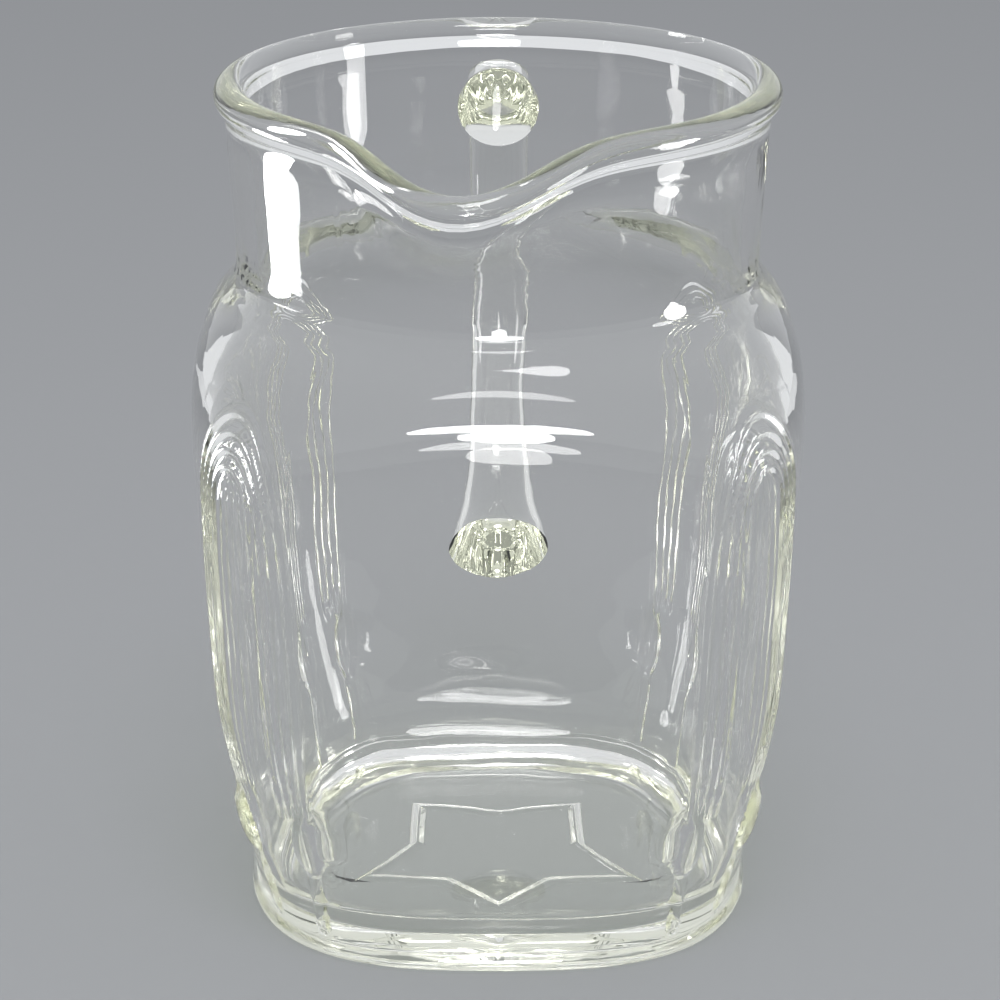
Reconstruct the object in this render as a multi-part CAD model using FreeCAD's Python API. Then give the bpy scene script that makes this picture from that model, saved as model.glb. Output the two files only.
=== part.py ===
import FreeCAD, Part
import math
import os

from FreeCAD import Vector

# One-piece pressed glass pitcher, in millimetres, +Z up, standing on Z = 0.
# The origin is the centre of the foot, the spout points along -Y and the handle along +Y.

# --- Driving dimensions ------------------------------------------------------------------

HEIGHT = 178.0            # table to the top of the rim bead
WALL = 4.2                # glass thickness of neck and body
FLOOR = 5.0               # glass thickness of the bottom, at its middle

FOOT_HALF = 54.5          # half the width of the foot, across the flats
FOOT_TALL = 3.4           # height of the band round the foot
HEEL_HALF = 53.4          # half the width just above the foot band
BODY_HALF = 61.0          # half the width at mid height
SHOULDER_HALF = 63.0      # half the width at the shoulder, the widest place
SHOULDER_Z = 117.0        # height of the widest place
NECK_Z = 138.5            # height at which the shoulder meets the neck
NECK_LOW_R = 54.4         # neck radius there
NECK_TOP_R = 55.9         # neck radius under the rim bead

FOOT_SQUARE = 2.8         # superellipse exponent of the foot: 2 is a circle
BODY_SQUARE = 4.6         # exponent of the body: a square with soft corners

BEAD_R = 3.2              # radius of the rolled rim bead

LIP_OUT = 12.0            # how far the spout leans out
LIP_DROP = 8.0            # how far its edge dips below the rim
LIP_SPREAD = 14.5         # half the spout's width at half its depth, in degrees of the rim
LIP_SKEW = 8.0            # the spout was tooled by hand and sits this many degrees off centre
LIP_START_Z = 146.0       # the neck starts to lean out here

RIBS = 4                  # ribs on each side of a corner column
RIB_FIRST = 5.6           # from the corner to the crest of the innermost rib
RIB_PITCH = 2.1
RIB_PROUD = 0.6           # height of a rib above the ground between the ribs
GROUND_SUNK = 0.25        # that ground lies this far below the plain skin
LOW_NARROWING = 0.24      # share by which the ribs draw together towards the heel
TOP_NARROWING = 0.12      # and towards the shoulder
ARCH_Z = 103.0            # above this height the ribs turn over in nested arches
LEG_END_Z = 36.0          # the ribs run out here
LOBE_Z = 28.5             # middle of the leaf-shaped lobe under each band of ribs
LOBE_SIDE = 8.2           # and its distance from the corner
LOBE_LEAN = 0.1           # lobe and stem lean towards the corner on their way down
LOBE_HALF_WIDE = 2.6
LOBE_HALF_TALL = 8.5
LOBE_PROUD = 1.5
STEM_PROUD = 0.8          # the stem is a narrow rib that runs down from each lobe
STEM_HALF_WIDE = 1.5
STEM_TOP_Z = 24.0

HANDLE_REACH = 101.0      # distance of the grip's centre line from the axis
HANDLE_TOP_Z = 158.5      # centre line of the handle's upper arm
HANDLE_LOW_Z = 50.5       # centre line where the lower arm meets the body
GRIP_HALF_WIDE = 7.2
GRIP_HALF_THICK = 5.6

REST_HALF = 43.0          # inner edge of the flat that the foot rests on
RECESS = 0.9              # the bottom is hollowed by this much inside it
STAR_R = 33.0             # star points
STAR_INNER_R = 19.8       # star notches
STAR_DEEP = 1.5           # depth of the pressed star
STAR_BEVEL = 1.8          # width of its sloping sides

COLUMN_TURN = 11.2        # half the angle that a column takes up round the axis
COLUMN_LOW_Z = 10.0
COLUMN_TOP_Z = 126.0
STRIPS = 40               # narrow faces that a column is made of

RING_POINTS = 48          # points that a ring section is drawn through
OVAL_POINTS = 16          # points that a section of the handle is drawn through


# --- Ring sections -----------------------------------------------------------------------

def smooth_step(value):
    """0 below 0, 1 above 1, and an S-curve between."""
    t = min(max(value, 0.0), 1.0)
    return t * t * (3.0 - 2.0 * t)


def spout_pull(angle):
    """How much of the spout there is at an angle round the axis: 1 at its middle."""
    middle = math.radians(270.0 - LIP_SKEW)
    off = math.degrees(math.remainder(angle - middle, 2.0 * math.pi))
    return 0.5 ** ((off / LIP_SPREAD) ** 2)


def ring_point(half, square, z, angle):
    """A point of a rounded-square ring, moved outwards and down where the spout is."""
    c, s = math.cos(angle), math.sin(angle)
    reach = half / (abs(c) ** square + abs(s) ** square) ** (1.0 / square)
    pull = spout_pull(angle) * smooth_step((z - LIP_START_Z) / (HEIGHT - BEAD_R - LIP_START_Z))
    reach += LIP_OUT * pull
    return Vector(reach * c, reach * s, z - LIP_DROP * pull)


def ring(half, square, z):
    """One closed smooth section, starting at the back under the handle."""
    turns = [i / RING_POINTS for i in range(RING_POINTS + 1)]
    angles = [math.pi / 2.0 + 2.0 * math.pi * t for t in turns[:-1]]
    curve = Part.BSplineCurve()
    curve.interpolate(Points=[ring_point(half, square, z, a) for a in angles],
                      PeriodicFlag=True, Parameters=turns)
    return Part.Wire([curve.toShape()])


# --- The skin: outside from the foot to the rim, over the bead, and down the inside -------

def outside_levels():
    """(half width, exponent, height) up the outside."""
    foot = [(FOOT_HALF - 1.3, FOOT_SQUARE, 0.0),
            (FOOT_HALF - 0.4, FOOT_SQUARE, 0.4),
            (FOOT_HALF, FOOT_SQUARE, 1.4),
            (FOOT_HALF - 0.1, FOOT_SQUARE, FOOT_TALL - 0.9),
            (FOOT_HALF - 0.7, FOOT_SQUARE, FOOT_TALL),
            (HEEL_HALF, FOOT_SQUARE + 0.1, FOOT_TALL + 1.6)]
    body = [(HEEL_HALF + 0.8, 3.1, 9.0),
            (HEEL_HALF + 2.4, 3.5, 18.0),
            (HEEL_HALF + 4.4, 4.1, 34.0),
            (BODY_HALF - 1.2, BODY_SQUARE, 55.0),
            (BODY_HALF, BODY_SQUARE, 76.0),
            (SHOULDER_HALF - 1.1, 4.5, 97.0),
            (SHOULDER_HALF, 3.9, SHOULDER_Z - 5.0),
            (SHOULDER_HALF, 3.4, SHOULDER_Z + 2.0),
            (SHOULDER_HALF - 0.9, 3.0, SHOULDER_Z + 7.5),
            (SHOULDER_HALF - 2.9, 2.6, SHOULDER_Z + 12.5),
            (NECK_LOW_R + 3.2, 2.3, NECK_Z - 5.2)]
    neck = [(NECK_LOW_R + 1.1, 2.1, NECK_Z - 2.6),
            (NECK_LOW_R + 0.2, 2.0, NECK_Z),
            (NECK_LOW_R, 2.0, NECK_Z + 3.0),
            (NECK_LOW_R + 0.5, 2.0, 153.0),
            (NECK_TOP_R - 0.4, 2.0, 163.0),
            (NECK_TOP_R, 2.0, 169.6)]
    return foot + body + neck


def bead_levels():
    """The rolled bead, from the outside of the neck over the top to the inside."""
    middle_r = NECK_TOP_R - WALL + BEAD_R
    middle_z = HEIGHT - BEAD_R
    turns = [-55.0, -25.0, 10.0, 45.0, 80.0, 115.0, 150.0, 185.0]
    return [(middle_r + BEAD_R * math.cos(math.radians(t)), 2.0,
             middle_z + BEAD_R * math.sin(math.radians(t))) for t in turns]


def inside_levels():
    """(half width, exponent, height) down the inside, to the edge of the flat floor."""
    neck = [(NECK_TOP_R - WALL - 0.1, 2.0, 167.5),
            (NECK_LOW_R + 0.5 - WALL, 2.0, 153.0),
            (NECK_LOW_R - WALL, 2.0, NECK_Z + 1.5),
            (NECK_LOW_R + 0.6 - WALL, 2.0, NECK_Z - 3.0),
            (NECK_LOW_R + 2.6 - WALL, 2.2, NECK_Z - 6.5)]
    body = [(SHOULDER_HALF - 3.1 - WALL, 2.5, SHOULDER_Z + 9.5),
            (SHOULDER_HALF - 0.9 - WALL, 3.0, SHOULDER_Z + 3.5),
            (SHOULDER_HALF - WALL, 3.6, SHOULDER_Z - 5.0),
            (SHOULDER_HALF - 1.1 - WALL, 4.3, 97.0),
            (BODY_HALF - WALL, 4.4, 76.0),
            (BODY_HALF - 1.2 - WALL, 4.3, 55.0),
            (HEEL_HALF + 4.4 - WALL, 3.9, 34.0),
            (HEEL_HALF + 2.4 - WALL, 3.4, 18.0)]
    floor = [(HEEL_HALF + 1.2 - WALL, 3.3, FLOOR + 8.0),
             (HEEL_HALF - 0.9 - WALL, 3.1, FLOOR + 4.0),
             (HEEL_HALF - 3.6 - WALL, 3.0, FLOOR + 1.6),
             (HEEL_HALF - 7.2 - WALL, 3.0, FLOOR + 0.3),
             (HEEL_HALF - 11.0 - WALL, 3.0, FLOOR)]
    return neck + body + floor


# --- Corner columns ----------------------------------------------------------------------

def column_relief(side, z):
    """Height of the ribs at a distance sideways from the corner: straight legs under arches."""
    narrow = 1.0 - LOW_NARROWING * smooth_step((60.0 - z) / 40.0)
    narrow -= TOP_NARROWING * smooth_step((z - 85.0) / 30.0)

    def outside_arch(half_wide):
        """Distance outside the arch of that half width, negative inside it."""
        if z < ARCH_Z:
            return abs(side) - half_wide
        return (math.hypot(side / half_wide, (z - ARCH_Z) / (1.2 * half_wide + 1.5)) - 1.0) * half_wide

    rib = 0.0
    for i in range(RIBS):
        off = outside_arch((RIB_FIRST + i * RIB_PITCH) * narrow) / (RIB_PITCH * narrow / 2.0)
        if abs(off) < 1.0:
            rib = max(rib, 0.5 + 0.5 * math.cos(math.pi * off))
    edge = (RIB_FIRST + (RIBS - 0.5) * RIB_PITCH) * narrow
    ground = smooth_step(-outside_arch(edge) / (RIB_PITCH / 2.0))
    return (RIB_PROUD * rib - GROUND_SUNK * ground) * smooth_step((z - LEG_END_Z) / 5.0)


def lobe_relief(side, z):
    """Height of the lobe under each band of ribs, and of the narrow rib below it."""
    off = abs(side) - LOBE_SIDE + LOBE_LEAN * (LOBE_Z - z)
    lobe = math.sqrt(max(0.0, 1.0 - (off / LOBE_HALF_WIDE) ** 2 - ((z - LOBE_Z) / LOBE_HALF_TALL) ** 2))
    stem = math.sqrt(max(0.0, 1.0 - (off / STEM_HALF_WIDE) ** 2))
    stem *= smooth_step((STEM_TOP_Z - z) / 10.0) * smooth_step((z - COLUMN_LOW_Z - 0.5) / 3.0)
    return max(LOBE_PROUD * lobe, STEM_PROUD * stem)


def relief(point):
    """How far the skin is moved outwards at a point of it."""
    corner_off = math.remainder(math.atan2(point.y, point.x) - math.pi / 4.0, math.pi / 2.0)
    side = math.hypot(point.x, point.y) * math.sin(corner_off)
    lobe = lobe_relief(side, point.z)
    return lobe if lobe > 0.0 else column_relief(side, point.z)


def level_at(skin, z):
    """The skin's second parameter at a height of its outside."""
    low, high = 0.0, 0.4
    for _ in range(40):
        middle = (low + high) / 2.0
        if skin.value(0.0, middle).z < z:
            low = middle
        else:
            high = middle
    return low


def piece_of(skin, turn_from, turn_to, level_from, level_to):
    part = skin.copy()
    part.segment(turn_from, turn_to, level_from, level_to)
    return part


def strip(skin, turn_from, turn_to, level_from, level_to, extra_levels):
    """A narrow piece of the skin, its poles moved outwards by the relief at its two long sides."""
    part = piece_of(skin, turn_from, turn_to, level_from, level_to)
    part.insertVKnots(extra_levels, [1] * len(extra_levels), 1e-9, True)
    across = part.NbUPoles
    for row in range(2, part.NbVPoles):
        first, last = relief(part.getPole(1, row)), relief(part.getPole(across, row))
        if first == 0.0 and last == 0.0:
            continue
        for column in range(1, across + 1):
            pole = part.getPole(column, row)
            proud = first + (last - first) * (column - 1) / (across - 1)
            grow = 1.0 + proud / math.hypot(pole.x, pole.y)
            part.setPole(column, row, Vector(pole.x * grow, pole.y * grow, pole.z))
    return part.toShape()


def vessel():
    """One closed skin: plain bands and faces, and at the corners the strips of the columns."""
    levels = outside_levels() + bead_levels() + inside_levels()
    loft = Part.makeLoft([ring(*level) for level in levels], True, False)
    skin = max(loft.Faces, key=lambda face: face.Area).Surface
    flat_ends = [face for face in loft.Faces if face.Surface.TypeId == "Part::GeomPlane"]
    low, top = level_at(skin, COLUMN_LOW_Z), level_at(skin, COLUMN_TOP_Z)
    lobe_rows = [12.0 + 1.3 * i for i in range(24)]
    leg_rows = [44.0, 50.0, 60.0, 72.0, 84.0, 94.0, 98.0]
    arch_rows = [100.0 + 0.85 * i for i in range(29)]
    extra = [level_at(skin, z) for z in lobe_rows + leg_rows + arch_rows]
    half = COLUMN_TURN / 360.0
    faces = [piece_of(skin, 0.0, 1.0, 0.0, low).toShape(),
             piece_of(skin, 0.0, 1.0, top, 1.0).toShape()]
    plain_from = 0.0
    for corner in (0.125, 0.375, 0.625, 0.875):
        faces.append(piece_of(skin, plain_from, corner - half, low, top).toShape())
        cuts = [corner - half + 2.0 * half * i / STRIPS for i in range(STRIPS + 1)]
        faces += [strip(skin, a, b, low, top, extra) for a, b in zip(cuts, cuts[1:])]
        plain_from = corner + half
    faces.append(piece_of(skin, plain_from, 1.0, low, top).toShape())
    shell = Part.makeShell(faces + flat_ends)
    shell.sewShape(0.001)
    return Part.Solid(shell)


# --- Handle ------------------------------------------------------------------------------

def oval(y, z, lean, half_wide, half_thick):
    """A closed section across the handle, which runs at lean degrees up from +Y."""
    tilt = math.radians(lean)
    wide = Vector(half_wide, 0, 0)
    thick = Vector(0, -math.sin(tilt), math.cos(tilt)) * half_thick
    turns = [i / OVAL_POINTS for i in range(OVAL_POINTS + 1)]
    angles = [2.0 * math.pi * t for t in turns[:-1]]
    curve = Part.BSplineCurve()
    curve.interpolate(Points=[Vector(0, y, z) + wide * math.cos(a) + thick * math.sin(a) for a in angles],
                      PeriodicFlag=True, Parameters=turns)
    return Part.Wire([curve.toShape()])


def handle():
    """A loop that leaves the neck level, turns down in a long grip and curls in to the body."""
    top, low, reach = HANDLE_TOP_Z, HANDLE_LOW_Z, HANDLE_REACH
    wide, thick = GRIP_HALF_WIDE, GRIP_HALF_THICK
    neck_y = NECK_LOW_R - 1.6
    body_y = BODY_HALF - 4.0
    grip_z = (top + low) / 2.0 + 8.0
    upper_arm = [oval(neck_y, top - 0.5, 0.0, wide + 2.4, thick + 4.4),
                 oval(neck_y + 4.5, top, 0.0, wide + 1.5, thick + 2.2),
                 oval(neck_y + 12.0, top + 1.0, 2.0, wide + 0.4, thick + 0.6),
                 oval(reach - 22.0, top + 0.6, -8.0, wide, thick)]
    grip = [oval(reach - 11.0, top - 4.4, -38.0, wide, thick),
            oval(reach - 3.6, top - 14.5, -66.0, wide, thick),
            oval(reach - 0.4, top - 28.0, -84.0, wide, thick),
            oval(reach, grip_z, -90.0, wide, thick),
            oval(reach - 1.4, grip_z - 20.0, -97.0, wide, thick),
            oval(reach - 6.0, grip_z - 35.0, -113.0, wide, thick - 0.2)]
    lower_arm = [oval(reach - 14.0, low + 14.8, -134.0, wide + 0.3, thick - 0.4),
                 oval(reach - 25.0, low + 6.0, -147.0, wide + 1.4, thick - 0.4),
                 oval(body_y + 9.5, low + 2.0, -163.0, wide + 3.2, thick - 0.1),
                 oval(body_y, low, -180.0, wide + 5.0, thick + 1.4)]
    return Part.makeLoft(upper_arm + grip + lower_arm, True, False)


# --- Underside ---------------------------------------------------------------------------

def star_outline(shrink, z):
    """A five-pointed star, one point to the spout, with its sides moved in by shrink."""
    half_tip = math.atan2(STAR_INNER_R * math.sin(math.pi / 5.0),
                          STAR_R - STAR_INNER_R * math.cos(math.pi / 5.0))
    scale = 1.0 - shrink / (STAR_R * math.sin(half_tip))
    corners = []
    for i in range(10):
        radius = (STAR_R, STAR_INNER_R)[i % 2] * scale
        angle = math.radians(-90.0 + 36.0 * i)
        corners.append(Vector(radius * math.cos(angle), radius * math.sin(angle), z))
    return Part.makePolygon(corners + corners[:1])


def hollow_bottom():
    """The shallow hollow that leaves the foot standing on a flat band."""
    edge = [ring(REST_HALF, FOOT_SQUARE, -1.0),
            ring(REST_HALF, FOOT_SQUARE, 0.0),
            ring(REST_HALF - 1.2, FOOT_SQUARE, RECESS)]
    return Part.makeLoft(edge, True, True)


def pressed_star():
    """The star pressed up into the bottom, with sloping sides that catch the light."""
    return Part.makeLoft([star_outline(0.0, RECESS - 0.05),
                          star_outline(STAR_BEVEL, RECESS + STAR_DEEP)], True, True)


# --- The pitcher -------------------------------------------------------------------------

os.makedirs("parts", exist_ok=True)
pitcher = vessel().fuse(handle())
pitcher = pitcher.cut(hollow_bottom()).cut(pressed_star())
print("valid", pitcher.isValid(), "solids", len(pitcher.Solids))
print("glass volume", round(pitcher.Volume / 1000.0, 1), "cm3")
pitcher.Solids[0].exportStep("parts/pitcher.step")
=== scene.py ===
import math

import bpy
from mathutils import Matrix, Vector, noise


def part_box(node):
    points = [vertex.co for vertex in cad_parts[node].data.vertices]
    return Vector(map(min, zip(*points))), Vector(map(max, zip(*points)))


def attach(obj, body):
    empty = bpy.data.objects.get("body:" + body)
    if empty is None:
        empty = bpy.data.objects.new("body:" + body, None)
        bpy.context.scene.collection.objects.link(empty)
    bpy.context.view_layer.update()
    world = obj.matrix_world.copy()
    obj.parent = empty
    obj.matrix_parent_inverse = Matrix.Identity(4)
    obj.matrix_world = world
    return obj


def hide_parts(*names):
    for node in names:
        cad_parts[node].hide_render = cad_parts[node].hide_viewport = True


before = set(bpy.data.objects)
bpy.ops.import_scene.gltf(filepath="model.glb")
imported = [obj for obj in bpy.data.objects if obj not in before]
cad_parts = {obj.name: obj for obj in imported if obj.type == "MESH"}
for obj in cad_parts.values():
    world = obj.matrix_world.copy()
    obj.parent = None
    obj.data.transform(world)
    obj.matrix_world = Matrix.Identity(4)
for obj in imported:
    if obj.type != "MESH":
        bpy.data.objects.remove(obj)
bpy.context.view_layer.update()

bpy.ops.object.select_all(action="DESELECT")


# --- Glass vessel ------------------------------------------------------------------------
# One skin of pressed soda-lime glass: foot ring, soft-square body with a ribbed column at
# each corner, round neck, rolled rim and a spout that was pulled out by hand while hot.
# The outside comes off the mould, the inside off the plunger, the star off the bottom plate.

MM = 0.001
foot_corner, rim_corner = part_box("pitcher")
HEIGHT = round(rim_corner[2] - foot_corner[2], 4)
BEAD_R = 3.2
BEAD_Z = 174.8

SPOUT_OUT = 12.0 * MM
SPOUT_DROP = 8.0 * MM
SPOUT_SPREAD = 14.5
SPOUT_SKEW = 6.5
SPOUT_START_Z = 0.146


def smooth_step(value):
    """0 below 0, 1 above 1, and an S-curve between."""
    t = min(max(value, 0.0), 1.0)
    return t * t * (3.0 - 2.0 * t)


def spout_pull(angle):
    """How much of the spout there is at an angle round the axis: 1 at its middle."""
    middle = math.radians(270.0 - SPOUT_SKEW)
    off = math.degrees(math.remainder(angle - middle, math.tau))
    return 0.5 ** ((off / SPOUT_SPREAD) ** 2)


RIBS = 4
RIB_PITCH = 2.1 * MM
RIB_FIRST = 5.6 * MM
RIB_PROUD = 0.6 * MM
GROUND_SUNK = 0.25 * MM
LOW_NARROWING = 0.24
TOP_NARROWING = 0.12
ARCH_Z = 0.103
ARCH_RISE = 1.85
LEG_END_Z = 0.036


def column_relief(side, z):
    """Height of the ribs at a distance sideways from the corner: straight legs under arches."""
    narrow = (1.0 - LOW_NARROWING * smooth_step((0.060 - z) / 0.040)
              - TOP_NARROWING * smooth_step((z - 0.085) / 0.030))

    def outside_arch(half_wide):
        """Distance outside the arch of that half width, negative inside it."""
        if z < ARCH_Z:
            return abs(side) - half_wide
        rise = ARCH_RISE * half_wide
        return (math.hypot(side / half_wide, (z - ARCH_Z) / rise) - 1.0) * half_wide

    rib = 0.0
    for k in range(RIBS):
        off = outside_arch((RIB_FIRST + RIB_PITCH * k) * narrow) / (RIB_PITCH * narrow / 2.0)
        if abs(off) < 1.0:
            rib = max(rib, 0.5 + 0.5 * math.cos(math.pi * off))
    edge = (RIB_FIRST + (RIBS - 0.5) * RIB_PITCH) * narrow
    ground = smooth_step(-outside_arch(edge) / (RIB_PITCH / 2.0))
    return (RIB_PROUD * rib - GROUND_SUNK * ground) * smooth_step((z - LEG_END_Z) / (5.0 * MM))


LOBE_Z = 0.0285
LOBE_SIDE = 9.4 * MM
LOBE_LEAN = 0.1
LOBE_HALF_WIDE = 3.1 * MM
LOBE_HALF_TALL = 8.0 * MM
LOBE_PROUD = 2.3 * MM
STEM_HALF_WIDE = 1.5 * MM
STEM_TOP_Z = 0.024
STEM_PROUD = 0.9 * MM


def lobe_relief(side, z):
    """The leaf-shaped lobe under each band of ribs, and the narrow stem that runs down from it."""
    off = abs(side) - LOBE_SIDE + LOBE_LEAN * (LOBE_Z - z)
    lobe = math.sqrt(max(0.0, 1.0 - (off / LOBE_HALF_WIDE) ** 2 - ((z - LOBE_Z) / LOBE_HALF_TALL) ** 2))
    stem = math.sqrt(max(0.0, 1.0 - (off / STEM_HALF_WIDE) ** 2))
    stem *= smooth_step((STEM_TOP_Z - z) / 0.010) * smooth_step((z - 0.004) / 0.003)
    return max(LOBE_PROUD * lobe, STEM_PROUD * stem)


RIBBED_FROM, RIBBED_TO = 3.8, 125.0
RIBBED_HALF_TURN = 10.8
ON_RIBS = 70
ON_FACE = 26


def angles_round():
    """Angles of the mesh columns: close together on the ribs, wider on the plain faces."""
    angles = []
    face_turn = 90.0 - 2.0 * RIBBED_HALF_TURN
    for corner in (45.0, 135.0, 225.0, 315.0):
        angles += [corner - RIBBED_HALF_TURN + 2.0 * RIBBED_HALF_TURN * i / ON_RIBS
                   for i in range(ON_RIBS + 1)]
        angles += [corner + RIBBED_HALF_TURN + face_turn * i / ON_FACE for i in range(1, ON_FACE)]
    return [math.radians(a) for a in angles]


# Levels up the outside and down the inside: half width across the flats in millimetres,
# squareness (2 is a circle) and height in millimetres
FOOT = [(53.2, 2.8, 0.0), (54.1, 2.8, 0.4), (54.5, 2.8, 1.4), (54.4, 2.8, 2.5), (53.8, 2.8, 3.4),
        (53.4, 2.9, 5.0)]
BODY = [(53.7, 3.0, 9.0), (55.0, 3.3, 18.0), (57.3, 3.9, 34.0), (59.8, 4.6, 55.0), (61.0, 4.6, 76.0),
        (61.9, 4.5, 97.0), (63.0, 3.9, 112.0), (63.0, 3.4, 119.0), (62.1, 3.0, 124.5),
        (60.1, 2.6, 129.5), (57.6, 2.3, 133.3)]
NECK = [(55.5, 2.1, 135.9), (54.6, 2.0, 138.5), (54.4, 2.0, 141.5), (54.9, 2.0, 153.0),
        (55.5, 2.0, 163.0), (55.9, 2.0, 169.6)]
BEAD = [(54.9 + BEAD_R * math.cos(math.radians(t)), 2.0, BEAD_Z + BEAD_R * math.sin(math.radians(t)))
        for t in (-55.0, -25.0, 10.0, 45.0, 80.0, 115.0, 150.0, 185.0)]
INSIDE = [(51.6, 2.0, 167.5), (50.7, 2.0, 153.0), (50.2, 2.0, 140.0), (50.8, 2.0, 135.5),
          (52.8, 2.2, 132.0), (55.7, 2.5, 126.5), (57.9, 3.0, 120.5), (58.8, 3.6, 112.0),
          (57.7, 4.3, 97.0), (56.8, 4.4, 76.0), (55.6, 4.3, 55.0), (53.6, 3.9, 34.0),
          (51.6, 3.4, 18.0), (50.4, 3.3, 13.0), (48.3, 3.1, 9.0), (45.6, 3.0, 6.6), (42.0, 3.0, 5.3),
          (38.2, 3.0, 5.0)]


def between(levels, i, t):
    """A level on the smooth curve through the levels, a share t of the way from i to i + 1."""
    a, b, c, d = (levels[min(max(j, 0), len(levels) - 1)] for j in (i - 1, i, i + 1, i + 2))
    chord = [max(math.dist(p, q), 1e-6) for p, q in ((a, b), (b, c), (c, d))]
    level = []
    for p, q, r, s in zip(a, b, c, d):
        slope_in = ((q - p) / chord[0] + (r - q) / chord[1]) / 2.0 * chord[1]
        slope_out = ((r - q) / chord[1] + (s - r) / chord[2]) / 2.0 * chord[1]
        level.append(q * (2 * t ** 3 - 3 * t ** 2 + 1) + slope_in * (t ** 3 - 2 * t ** 2 + t)
                     + r * (3 * t ** 2 - 2 * t ** 3) + slope_out * (t ** 3 - t ** 2))
    return level


def row_step(z):
    """Spacing of the skin's rows up the outside, in millimetres."""
    if 101.0 < z < 125.0:
        return 0.66
    if 18.0 < z < 42.0:
        return 0.9
    if z < 8.0 or z > 168.0:
        return 0.8
    return 2.4


def rows_up(levels, step):
    """Levels all along the curve, as far apart as the step says for their height."""
    rows = []
    for i in range(len(levels) - 1):
        length = math.dist(levels[i][::2], levels[i + 1][::2])
        count = max(1, round(length / step((levels[i][2] + levels[i + 1][2]) / 2.0)))
        rows += [between(levels, i, j / count) for j in range(count)]
    return rows + [levels[-1]]


LONG_WAVE = 0.10 * MM
SHORT_WAVE = 0.025 * MM
MOULD_SIDE, PLUNGER_SIDE = 3.0, 8.0


def waviness(x, y, z, side):
    """Unevenness that the hot glass keeps from the cold mould or plunger, in metres."""
    slow = noise.noise(Vector((x, y, z)) * 38.0 + Vector((side, 0.0, 0.0)))
    quick = noise.noise(Vector((x, y, z)) * 95.0 + Vector((0.0, side, 0.0)))
    return LONG_WAVE * slow + SHORT_WAVE * quick


def skin_point(half, square, z, angle, ribbed=False, wave_side=MOULD_SIDE):
    """The place on the skin at a level and an angle, with its waves, ribs and spout."""
    c, s = math.cos(angle), math.sin(angle)
    reach = half * MM / (abs(c) ** square + abs(s) ** square) ** (1.0 / square)
    height = z * MM
    reach += waviness(reach * c, reach * s, height, wave_side)
    if ribbed:
        from_corner = math.remainder(angle - math.radians(45.0), math.pi / 2.0)
        side = reach * math.sin(from_corner)
        lobe = lobe_relief(side, height)
        reach += lobe if lobe > 0.0 else column_relief(side, height)
    pull = smooth_step((height - SPOUT_START_Z) / (HEIGHT - BEAD_R * MM - SPOUT_START_Z))
    pull *= spout_pull(angle)
    reach += SPOUT_OUT * pull
    return (reach * c, reach * s, height - SPOUT_DROP * pull)


REST_HALF = 43.0
FOOT_EDGE_HALF = 52.8
FOOT_SQUARE = 2.8
STEP_WIDE = 3.6
RECESS = 0.35

STAR_R = 33.4 * MM
STAR_NOTCH_R = 20.8 * MM
STAR_BACK = 0.9 * MM
STAR_FORWARD = 2.5 * MM
STAR_BOW = 5.0
GROOVE_DEEP = 1.8 * MM
GROOVE_WIDE = 3.1 * MM
RECESS_TOP = RECESS * MM

# Across the star's pressed outline, from outside it to the flat within: how far in, how high
GROOVE_SECTION = [(-0.6 * MM, RECESS_TOP), (-0.3 * MM, RECESS_TOP), (0.0, RECESS_TOP + 0.12 * MM),
                  (0.2 * MM, RECESS_TOP + 0.35 * MM), (GROOVE_WIDE * 0.38, RECESS_TOP + GROOVE_DEEP * 0.94),
                  (GROOVE_WIDE * 0.5, RECESS_TOP + GROOVE_DEEP),
                  (GROOVE_WIDE * 0.62, RECESS_TOP + GROOVE_DEEP * 0.94),
                  (GROOVE_WIDE * 0.95, RECESS_TOP + STAR_BACK + 0.1 * MM),
                  (GROOVE_WIDE * 1.1, RECESS_TOP + STAR_BACK), (GROOVE_WIDE * 1.22, RECESS_TOP + STAR_BACK)]


def star_radius(angle, inset):
    """Distance from the middle to the star's outline, moved in by the inset."""
    turn = math.remainder(angle + math.pi / 2.0, math.tau / 5.0)
    notch = math.pi / 5.0
    a = abs(turn)
    x1, y1 = STAR_NOTCH_R * math.cos(notch), STAR_NOTCH_R * math.sin(notch)
    side = math.hypot(STAR_R - x1, y1)
    off = (STAR_R * y1) / side - inset
    return off / ((math.cos(a) * y1 - math.sin(a) * (x1 - STAR_R)) / side)


def star_point(angle, inset, z):
    """The place on the star at an angle: moved to the front and slightly bowed, as it was pressed."""
    r = star_radius(angle, inset)
    x, y = r * math.cos(angle), r * math.sin(angle)
    return (x, y - STAR_FORWARD - STAR_BOW * x * x, z)


def underside_rows(angles):
    """From the foot's edge in: the flat it rests on, the soft step up, and the pressed star."""
    rows = [[skin_point(half, FOOT_SQUARE, 0.0, a) for a in angles]
            for half in (FOOT_EDGE_HALF, REST_HALF + 0.4)]
    for share in (0.0, 0.12, 0.5, 0.88, 1.0):
        rise = RECESS * (share * 0.8 + 0.2 * smooth_step(share))
        rows.append([skin_point(REST_HALF - STEP_WIDE * share, FOOT_SQUARE, rise, a) for a in angles])
    rows.append([skin_point(REST_HALF - STEP_WIDE - 0.4, FOOT_SQUARE, RECESS, a) for a in angles])
    for inset, z in GROOVE_SECTION:
        rows.append([star_point(a, inset, z) for a in angles])
    for share in (0.6, 0.25, 0.05):
        rows.append([(x * share, (y + STAR_FORWARD) * share - STAR_FORWARD, z)
                     for x, y, z in (star_point(a, *GROOVE_SECTION[-1]) for a in angles)])
    return rows


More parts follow.
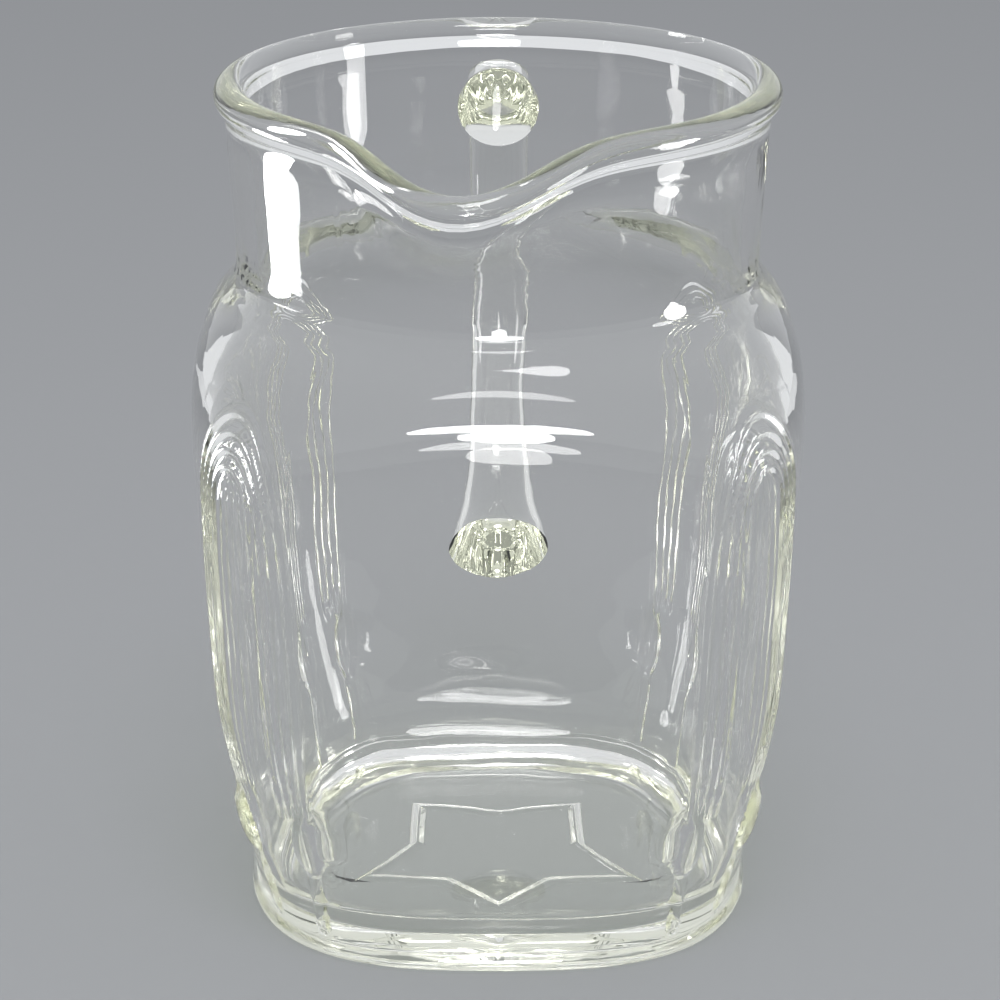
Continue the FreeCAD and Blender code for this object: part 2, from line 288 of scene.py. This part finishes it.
def build_vessel():
    """One closed skin, from the middle of the star out, up, over the rim, and down the inside."""
    star_corners = [math.radians(-90.0 + 36.0 * i) for i in range(10)]
    angles = sorted({round(a % math.tau, 9) for a in angles_round() + star_corners})
    rows = underside_rows(angles)[::-1]
    for level in rows_up(FOOT + BODY + NECK + BEAD, row_step):
        ribbed = RIBBED_FROM < level[2] < RIBBED_TO
        rows.append([skin_point(*level, a, ribbed) for a in angles])
    for level in rows_up([BEAD[-1]] + INSIDE, lambda z: 3.0 if z > 30.0 else 1.5)[1:]:
        rows.append([skin_point(*level, a, False, PLUNGER_SIDE) for a in angles])
    for share in (0.97, 0.7, 0.35, 0.05):
        rows.append([(x * share, y * share, z) for x, y, z in (skin_point(*INSIDE[-1], a) for a in angles)])
    count = len(angles)
    points = [p for row in rows for p in row]
    star_middle, floor_middle = len(points), len(points) + 1
    points += [(0.0, -STAR_FORWARD, rows[0][0][2]), (0.0, 0.0, rows[-1][0][2])]
    last = (len(rows) - 1) * count
    beside = [(i, (i + 1) % count) for i in range(count)]
    faces = [(r + i, r + j, r + count + j, r + count + i) for r in range(0, last, count) for i, j in beside]
    for i, j in beside:
        faces += [(star_middle, j, i), (floor_middle, last + i, last + j)]
    mesh = bpy.data.meshes.new("pitcher_glass")
    mesh.from_pydata(points, [], faces)
    mesh.validate()
    vessel = bpy.data.objects.new("pitcher_glass", mesh)
    bpy.context.scene.collection.objects.link(vessel)
    return vessel


vessel = build_vessel()


# --- Handle ------------------------------------------------------------------------------
# A gob of hot glass pulled into a loop and stuck to the neck and the body, so it is one
# piece with them: level off the neck, down in a long grip, and curled in to a flared root.
# The whole pitcher then gets its glass: clear, faintly warm green where it is thick.

# Stations along it, in millimetres and degrees: y, z, lean, half width, half thickness
HANDLE = [(52.8, 158.0, 0.0, 9.6, 10.0), (57.3, 158.5, 0.0, 8.7, 7.8), (64.8, 159.5, 2.0, 7.6, 6.2),
          (79.0, 159.1, -8.0, 7.2, 5.6), (90.0, 154.1, -38.0, 7.2, 5.6), (97.4, 144.0, -66.0, 7.2, 5.6),
          (100.6, 130.5, -84.0, 7.2, 5.6), (101.0, 112.5, -90.0, 7.2, 5.6), (99.6, 92.5, -97.0, 7.2, 5.6),
          (95.0, 77.5, -113.0, 7.2, 5.4), (87.0, 65.3, -134.0, 7.5, 5.2), (76.0, 56.5, -147.0, 8.6, 5.2),
          (66.5, 52.5, -163.0, 10.4, 5.5), (57.0, 50.5, -180.0, 12.2, 7.0)]


def lean_section(degrees, centre):
    """Lean the selected section. With no window the operator turns the other way, so minus."""
    bpy.ops.transform.rotate(value=-math.radians(degrees), orient_axis="X", orient_type="GLOBAL",
                             center_override=centre)


def pull_handle():
    """The oval section is pulled on from station to station, turned and squeezed at each."""
    steps = 5
    stations = [between(HANDLE, i, j / steps) for i in range(len(HANDLE) - 1) for j in range(steps)]
    stations.append(HANDLE[-1])
    y, z, lean, wide, thick = stations[0]
    centre = (0.0, y * MM, z * MM)
    bpy.ops.mesh.primitive_circle_add(vertices=40, radius=MM, fill_type="NGON", location=centre,
                                      rotation=(math.radians(90.0), 0.0, 0.0))
    bpy.ops.object.transform_apply(location=True, rotation=True, scale=True)
    bpy.ops.object.mode_set(mode="EDIT")
    bpy.ops.mesh.select_all(action="SELECT")
    bpy.ops.transform.resize(value=(wide, 1.0, thick), center_override=centre)
    for new_y, new_z, new_lean, new_wide, new_thick in stations[1:]:
        move = (0.0, (new_y - y) * MM, (new_z - z) * MM)
        bpy.ops.mesh.extrude_region_move(TRANSFORM_OT_translate={"value": move})
        centre = (0.0, new_y * MM, new_z * MM)
        lean_section(-lean, centre)
        bpy.ops.transform.resize(value=(new_wide / wide, 1.0, new_thick / thick), center_override=centre)
        lean_section(new_lean, centre)
        y, z, lean, wide, thick = new_y, new_z, new_lean, new_wide, new_thick
    bpy.ops.mesh.select_all(action="SELECT")
    bpy.ops.mesh.normals_make_consistent(inside=False)
    bpy.ops.object.mode_set(mode="OBJECT")
    handle = bpy.context.object
    handle.name = "handle"
    handle.select_set(False)
    return handle


handle = pull_handle()
bpy.context.view_layer.objects.active = vessel
vessel.select_set(True)
union = vessel.modifiers.new("handle_root", "BOOLEAN")
union.operation = "UNION"
union.solver = "EXACT"
union.object = handle
bpy.ops.object.modifier_apply(modifier=union.name)
bpy.data.objects.remove(handle)
bpy.ops.object.shade_smooth_by_angle(angle=math.radians(38.0))
vessel.select_set(False)

GLASS_IOR = 1.5
THIN_GLASS = (0.93, 0.94, 0.92, 1.0)
DEEP_GLASS = (0.905, 0.92, 0.74, 1.0)
DEEP_DENSITY = 7.0

glass = bpy.data.materials.new("clear_glass")
glass.use_nodes = True
tree = glass.node_tree
tree.nodes.clear()
out = tree.nodes.new("ShaderNodeOutputMaterial")
body = tree.nodes.new("ShaderNodeBsdfPrincipled")
body.inputs["Base Color"].default_value = (1.0, 1.0, 1.0, 1.0)
body.inputs["Transmission Weight"].default_value = 1.0
body.inputs["Roughness"].default_value = 0.0
body.inputs["IOR"].default_value = GLASS_IOR
through = tree.nodes.new("ShaderNodeBsdfTransparent")
through.inputs["Color"].default_value = THIN_GLASS
path = tree.nodes.new("ShaderNodeLightPath")
either = tree.nodes.new("ShaderNodeMath")
either.operation = "MAXIMUM"
mix = tree.nodes.new("ShaderNodeMixShader")
depth = tree.nodes.new("ShaderNodeVolumeAbsorption")
depth.inputs["Color"].default_value = DEEP_GLASS
depth.inputs["Density"].default_value = DEEP_DENSITY
place = tree.nodes.new("ShaderNodeTexCoord")
waves = tree.nodes.new("ShaderNodeTexNoise")
waves.inputs["Scale"].default_value = 60.0
waves.inputs["Detail"].default_value = 1.5
bump = tree.nodes.new("ShaderNodeBump")
bump.inputs["Strength"].default_value = 0.25
bump.inputs["Distance"].default_value = 0.0004
links = tree.links
links.new(place.outputs["Object"], waves.inputs["Vector"])
links.new(waves.outputs["Fac"], bump.inputs["Height"])
links.new(bump.outputs["Normal"], body.inputs["Normal"])
links.new(path.outputs["Is Shadow Ray"], either.inputs[0])
links.new(path.outputs["Is Diffuse Ray"], either.inputs[1])
links.new(either.outputs[0], mix.inputs["Fac"])
links.new(body.outputs["BSDF"], mix.inputs[1])
links.new(through.outputs["BSDF"], mix.inputs[2])
links.new(mix.outputs["Shader"], out.inputs["Surface"])
links.new(depth.outputs["Volume"], out.inputs["Volume"])
vessel.data.materials.clear()
vessel.data.materials.append(glass)
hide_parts("pitcher")
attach(vessel, "root")


# --- Floor -------------------------------------------------------------------------------
# A plain pale studio floor, matt and wide. It lies a hair under the foot, because glass that
# shares its surface with the floor turns as dull as the floor.

FLOOR_SIZE = 8.0
FLOOR_GAP = 0.08 * MM
FLOOR_GREY = (0.33, 0.335, 0.345, 1.0)

bpy.ops.mesh.primitive_plane_add(size=FLOOR_SIZE, location=(0.0, 0.0, -FLOOR_GAP))
floor = bpy.context.object
floor.name = "floor"
matt = bpy.data.materials.new("pale_floor")
matt.use_nodes = True
paint = matt.node_tree.nodes["Principled BSDF"]
paint.inputs["Base Color"].default_value = FLOOR_GREY
paint.inputs["Roughness"].default_value = 0.9
paint.inputs["Specular IOR Level"].default_value = 0.0
floor.data.materials.append(matt)
floor.select_set(False)


# --- Light and camera --------------------------------------------------------------------
# Plain studio light: a large overhead panel lights everything. Two panels in front and one
# above them show only in the glass, at the shoulder and low on the back wall, and one at each
# side draws the long highlights on the neck and the columns.

def panel(name, place, aim, wide, tall, watts, on_floor=False, through=True):
    """An oval lamp that the camera doesn't see. It lights matt things only if on_floor says so."""
    lamp = bpy.data.lights.new(name, "AREA")
    lamp.shape = "ELLIPSE"
    lamp.size = wide
    lamp.size_y = tall
    lamp.energy = watts
    rig = bpy.data.objects.new(name, lamp)
    bpy.context.scene.collection.objects.link(rig)
    rig.location = place
    rig.rotation_euler = (Vector(aim) - Vector(place)).to_track_quat("-Z", "Y").to_euler()
    rig.visible_camera = False
    rig.visible_diffuse = on_floor
    rig.visible_transmission = through
    return rig


panel("overhead_panel", (0.05, -0.50, 1.2), (0.0, 0.0, 0.08), 0.5, 0.5, 7.0, on_floor=True)
panel("front_bar", (0.01, -1.0, 0.20), (0.0, 0.0, 0.11), 0.34, 0.12, 2.4)
panel("front_stem", (0.01, -1.0, 0.09), (0.0, 0.0, 0.11), 0.11, 0.16, 1.0)
panel("upper_bar", (0.02, -0.95, 0.78), (0.0, 0.0, 0.12), 0.40, 0.12, 0.9, through=False)
panel("left_panel", (-0.27, 0.05, 0.065), (0.0, 0.0, 0.065), 0.08, 0.10, 0.5)
panel("right_panel", (0.45, -0.12, 0.12), (0.0, 0.0, 0.10), 0.10, 0.20, 0.9)

SKY_WHITE = (0.95, 0.97, 1.0, 1.0)
SKY_LEVEL = 0.8

world = bpy.data.worlds.new("studio")
bpy.context.scene.world = world
world.use_nodes = True
world.node_tree.nodes["Background"].inputs["Color"].default_value = SKY_WHITE
world.node_tree.nodes["Background"].inputs["Strength"].default_value = SKY_LEVEL

CAMERA_PLACE = (0.0004, -0.6027, 0.3155)
CAMERA_DOWN = 20.95

camera = bpy.data.cameras.new("camera")
camera.lens = 108.0
camera.sensor_width = 36.0
eye = bpy.data.objects.new("camera", camera)
bpy.context.scene.collection.objects.link(eye)
eye.location = CAMERA_PLACE
eye.rotation_euler = (math.radians(90.0 - CAMERA_DOWN), 0.0, 0.0)
bpy.context.scene.camera = eye
bpy.context.scene.view_settings.view_transform = "Standard"

cycles = bpy.context.scene.cycles
cycles.max_bounces = 32
cycles.glossy_bounces = 32
cycles.transmission_bounces = 32
cycles.transparent_max_bounces = 16
